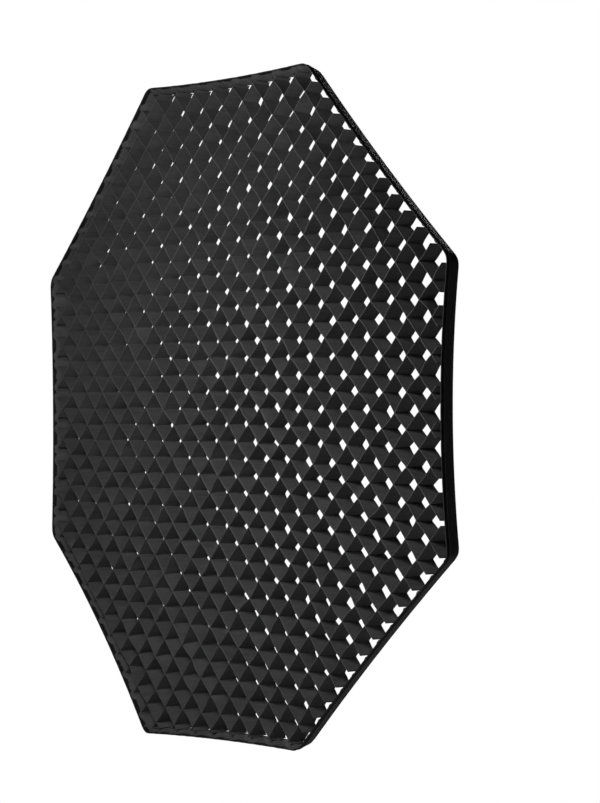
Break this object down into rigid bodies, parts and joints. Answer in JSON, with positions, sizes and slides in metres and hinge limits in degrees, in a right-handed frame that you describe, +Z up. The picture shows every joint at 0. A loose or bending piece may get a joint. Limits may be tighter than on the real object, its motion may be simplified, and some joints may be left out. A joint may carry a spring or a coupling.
{
  "type": "honeycomb grid",
  "caption": "Octagonal cloth honeycomb grid for a softbox: interlocked black fabric strips set on edge in a taut border band with hook tape round the outside.",
  "frame": {"origin": "middle of the grid, halfway through the depth of its strips", "axes": "+X to the right, +Z up, -Y out of the front, the way the light leaves; the octagon has a flat at its top"},
  "size_m": [1.3812, 0.0409, 1.3812],
  "materials": {
    "strip_cloth": "black woven nylon with a faint satin sheen",
    "band_cloth": "black woven nylon, gathered where the strips are sewn in",
    "hook_tape": "black nylon hook tape, matte",
    "binding_ribbon": "black ribbed binding ribbon, slight sheen"
  },
  "bodies": {
    "root": {"border_band": "band_cloth", "hook_tape": "hook_tape", "edge_binding": "binding_ribbon", "rising_strip_01": "strip_cloth", "rising_strip_02": "strip_cloth", "rising_strip_03": "strip_cloth", "rising_strip_04": "strip_cloth", "rising_strip_05": "strip_cloth", "rising_strip_06": "strip_cloth", "rising_strip_07": "strip_cloth", "rising_strip_08": "strip_cloth", "rising_strip_09": "strip_cloth", "rising_strip_10": "strip_cloth", "rising_strip_11": "strip_cloth", "rising_strip_12": "strip_cloth", "rising_strip_13": "strip_cloth", "rising_strip_14": "strip_cloth", "rising_strip_15": "strip_cloth", "rising_strip_16": "strip_cloth", "rising_strip_17": "strip_cloth", "rising_strip_18": "strip_cloth", "rising_strip_19": "strip_cloth", "rising_strip_20": "strip_cloth", "rising_strip_21": "strip_cloth", "rising_strip_22": "strip_cloth", "rising_strip_23": "strip_cloth", "rising_strip_24": "strip_cloth", "rising_strip_25": "strip_cloth", "rising_strip_26": "strip_cloth", "falling_strip_01": "strip_cloth", "falling_strip_02": "strip_cloth", "falling_strip_03": "strip_cloth", "falling_strip_04": "strip_cloth", "falling_strip_05": "strip_cloth", "falling_strip_06": "strip_cloth", "falling_strip_07": "strip_cloth", "falling_strip_08": "strip_cloth", "falling_strip_09": "strip_cloth", "falling_strip_10": "strip_cloth", "falling_strip_11": "strip_cloth", "falling_strip_12": "strip_cloth", "falling_strip_13": "strip_cloth", "falling_strip_14": "strip_cloth", "falling_strip_15": "strip_cloth", "falling_strip_16": "strip_cloth", "falling_strip_17": "strip_cloth", "falling_strip_18": "strip_cloth", "falling_strip_19": "strip_cloth", "falling_strip_20": "strip_cloth", "falling_strip_21": "strip_cloth", "falling_strip_22": "strip_cloth", "falling_strip_23": "strip_cloth", "falling_strip_24": "strip_cloth", "falling_strip_25": "strip_cloth", "falling_strip_26": "strip_cloth"}
  },
  "joints": []
}
